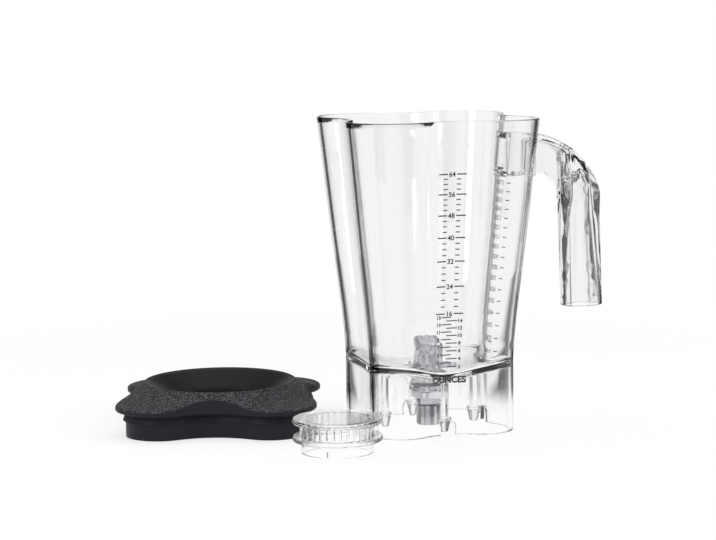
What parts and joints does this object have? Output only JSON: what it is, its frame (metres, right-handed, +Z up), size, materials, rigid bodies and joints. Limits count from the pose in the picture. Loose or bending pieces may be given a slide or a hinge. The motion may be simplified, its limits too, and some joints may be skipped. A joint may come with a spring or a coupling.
{
  "type": "blender jar",
  "caption": "Clear lobed blender jar with a hollow cantilever handle, bladed drive in its floor, black rubber lid and clear filler cap standing beside it.",
  "frame": {"origin": "on the jar's axis, in the plane that its skirt stands on", "axes": "+Z up along the blade shaft, +X from the axis towards the handle, -Y the side with the ounce scale"},
  "size_m": [0.3908, 0.2622, 0.2438],
  "materials": {
    "clear_plastic": "clear, polished moulding",
    "black_rubber": "matte, grained on top",
    "seal_rubber": "matte",
    "bronze": "sintered",
    "steel": "turned",
    "blade_steel": "brushed"
  },
  "bodies": {
    "jar_body": {"jar": "clear_plastic", "lid": "black_rubber", "filler_cap": "clear_plastic", "bearing_housing": "steel", "floor_gasket": "seal_rubber", "lock_washer": "steel", "retaining_nut": "steel", "upper_bush": "bronze", "lower_bush": "bronze", "shaft_seal": "seal_rubber"},
    "rotor": {"shaft": "steel", "thrust_washer": "steel", "lower_blade": "blade_steel", "blade_spacer": "steel", "upper_blade": "blade_steel", "top_washer": "steel", "blade_nut": "steel", "drive_coupling": "steel"}
  },
  "joints": [
    {"name": "blade_spin", "type": "hinge", "parent": "jar_body", "child": "rotor", "pos_m": [0, 0, 0.045], "axis": [0, 0, 1], "continuous": true}
  ]
}
